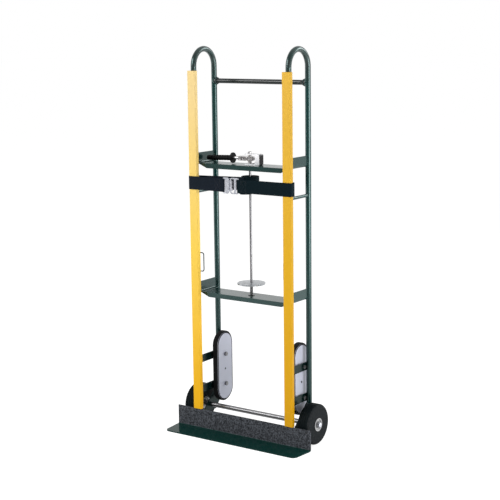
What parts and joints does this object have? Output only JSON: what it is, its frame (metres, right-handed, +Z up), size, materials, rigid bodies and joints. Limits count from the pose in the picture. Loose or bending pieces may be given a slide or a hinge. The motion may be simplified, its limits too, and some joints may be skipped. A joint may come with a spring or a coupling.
{
  "type": "appliance hand truck",
  "caption": "Upright steel appliance truck with looped side rails, wide toe plate, two wheels, stair climbers and a ratchet spindle that winds a load strap",
  "frame": {"origin": "on the floor, under the middle of the truck's bounding box", "axes": "+Z up along the rails, -Y towards the load and the toe plate, +X to the right as seen by someone facing the load side"},
  "size_m": [0.635, 0.2824, 1.524],
  "materials": {
    "green_paint": "dark green gloss enamel over steel tube and sheet",
    "toe_paint": "dark grey hammered paint over steel plate",
    "cover_left": "yellow moulded rail cover",
    "cover_right": "yellow moulded rail cover",
    "tyre_rubber": "solid charcoal rubber",
    "belt_rubber": "black rubber belt",
    "climber_cheek": "light grey paint",
    "core_plastic": "black nylon slide core",
    "hub_zinc": "zinc plated pressed steel",
    "bush_nylon": "natural nylon",
    "webbing": "black woven webbing",
    "grip_rubber": "black moulded grip",
    "zinc_plate": "bright zinc plate",
    "steel": "plain steel",
    "dark_steel": "oiled dark steel strip"
  },
  "bodies": {
    "frame": {"axle": "steel", "axle_caps": "zinc_plate", "axle_gusset_left": "green_paint", "axle_gusset_right": "green_paint", "axle_spacers": "steel", "axle_washers": "steel", "bracket_screws": "steel", "buckle_hook": "zinc_plate", "buckle_loop": "zinc_plate", "climber_bars_left": "green_paint", "climber_bars_right": "green_paint", "climber_belt_left": "belt_rubber", "climber_belt_right": "belt_rubber", "climber_bolts_left": "steel", "climber_bolts_right": "steel", "climber_core_left": "core_plastic", "climber_core_right": "core_plastic", "climber_inner_cheek_left": "climber_cheek", "climber_inner_cheek_right": "climber_cheek", "climber_nuts_left": "steel", "climber_nuts_right": "steel", "climber_outer_cheek_left": "climber_cheek", "climber_outer_cheek_right": "climber_cheek", "climber_spacers_left": "steel", "climber_spacers_right": "steel", "holding_pawl_pin": "steel", "lower_shelf": "green_paint", "rail_cover_left": "cover_left", "rail_cover_right": "cover_right", "side_frame_left": "green_paint", "side_frame_right": "green_paint", "spindle_foot_bush": "steel", "strap_anchor_half": "webbing", "strap_keeper_left": "green_paint", "strap_keeper_right": "green_paint", "strap_rung_left": "green_paint", "strap_rung_right": "green_paint", "strap_winding_half": "webbing", "tightener_bracket": "dark_steel", "toe_plate": "toe_paint", "top_crossbar": "green_paint", "upper_shelf": "green_paint"},
    "wheel_left": {"tyre_left": "tyre_rubber", "wheel_hub_left": "hub_zinc", "wheel_bush_left": "bush_nylon"},
    "wheel_right": {"tyre_right": "tyre_rubber", "wheel_hub_right": "hub_zinc", "wheel_bush_right": "bush_nylon"},
    "spindle_unit": {"spindle": "steel", "hand_disc": "zinc_plate", "ratchet_wheel": "steel", "lever_collars": "steel", "spindle_nut": "steel", "strap_roll": "webbing"},
    "lever_unit": {"lever_arm": "steel", "lever_grip": "grip_rubber", "drive_pawl_pin": "steel"},
    "drive_pawl_unit": {"drive_pawl": "steel"},
    "holding_pawl_unit": {"holding_pawl": "steel"}
  },
  "joints": [
    {"name": "wheel_left_spin", "type": "hinge", "parent": "frame", "child": "wheel_left", "pos_m": [-0.27185, 0.04975, 0.0795], "axis": [1, 0, 0], "continuous": true},
    {"name": "wheel_right_spin", "type": "hinge", "parent": "frame", "child": "wheel_right", "pos_m": [0.27185, 0.04975, 0.0795], "axis": [1, 0, 0], "continuous": true},
    {"name": "spindle_turn", "type": "hinge", "parent": "frame", "child": "spindle_unit", "pos_m": [0, 0.03375, 0.8], "axis": [0, 0, 1], "continuous": true},
    {"name": "lever_swing", "type": "hinge", "parent": "frame", "child": "lever_unit", "pos_m": [0, 0.03375, 1.097], "axis": [0, 0, 1], "range_deg": [-105, 0]},
    {"name": "drive_pawl_pivot", "type": "hinge", "parent": "lever_unit", "child": "drive_pawl_unit", "pos_m": [-0.034, 0.04275, 1.097], "axis": [0, 0, 1], "range_deg": [-20, 0]},
    {"name": "holding_pawl_pivot", "type": "hinge", "parent": "frame", "child": "holding_pawl_unit", "pos_m": [0.037, 0.02575, 1.097], "axis": [0, 0, 1], "range_deg": [-20, 0]}
  ]
}
